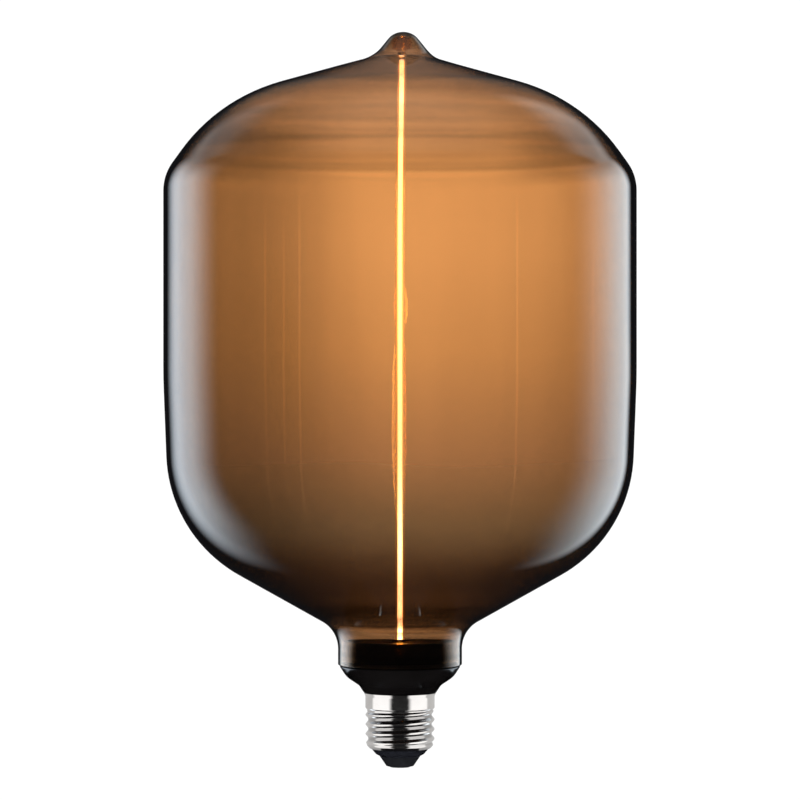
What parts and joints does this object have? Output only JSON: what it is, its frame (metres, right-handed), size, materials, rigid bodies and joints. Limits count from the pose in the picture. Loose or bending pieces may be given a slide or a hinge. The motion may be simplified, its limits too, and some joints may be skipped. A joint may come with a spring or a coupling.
{
  "type": "smart light bulb",
  "caption": "Large smoked-glass tank lamp with one upright LED filament, a driver and radio in its black base, and an E27 screw cap.",
  "frame": {"origin": "centre of the flat end of the centre contact, the end that goes into the lampholder", "axes": "+Z along the lamp's axis from the cap to the glass tip; +Y normal to the driver board's front face"},
  "size_m": [0.18, 0.18, 0.28],
  "materials": {
    "smoked_glass": "clear glass with a brown smoke tint, darker towards the neck, polished",
    "clear_glass": "clear glass tube, polished",
    "phosphor": "warm yellow phosphor silicone, lit",
    "black_plastic": "black moulded plastic, semi-gloss",
    "dark_plastic": "dark grey moulded plastic, fine matt",
    "black_rubber": "black silicone rubber, matt",
    "black_enamel": "black glass-like insulator, glossy, its end face matt",
    "nickel": "nickel-plated sheet, bright",
    "solder": "tinned contact, satin",
    "copper": "bare copper",
    "board_green": "green solder mask over glass-fibre laminate",
    "chip_black": "black epoxy package",
    "sleeve_black": "black shrink sleeve",
    "film_yellow": "yellow moulded film capacitor case",
    "ferrite": "dark grey sintered ferrite",
    "varistor_blue": "blue dipped epoxy",
    "resistor_tan": "tan resistor body",
    "wire_red": "red silicone insulation",
    "wire_white": "white silicone insulation"
  },
  "bodies": {
    "root": {"glass_envelope": "smoked_glass", "filament_tube": "clear_glass", "led_filament": "phosphor", "filament_tab_upper": "nickel", "filament_tab_lower": "nickel", "return_wire": "copper", "screw_shell": "nickel", "cap_insulator": "black_enamel", "centre_contact": "solder", "base_housing": "black_plastic", "neck_adhesive": "black_rubber", "neck_cover": "dark_plastic", "tube_grommet": "black_rubber", "driver_board": "board_green", "reservoir_capacitor": "sleeve_black", "surge_varistor": "varistor_blue", "choke_core": "ferrite", "choke_winding": "copper", "film_capacitor": "film_yellow", "fusible_resistor": "resistor_tan", "bridge_rectifier": "chip_black", "driver_chip": "chip_black", "radio_board": "board_green", "radio_shield": "nickel", "radio_antenna": "copper", "live_lead": "wire_red", "neutral_lead": "wire_white", "filament_lead_negative": "wire_white", "filament_lead_positive": "wire_red"}
  },
  "joints": []
}
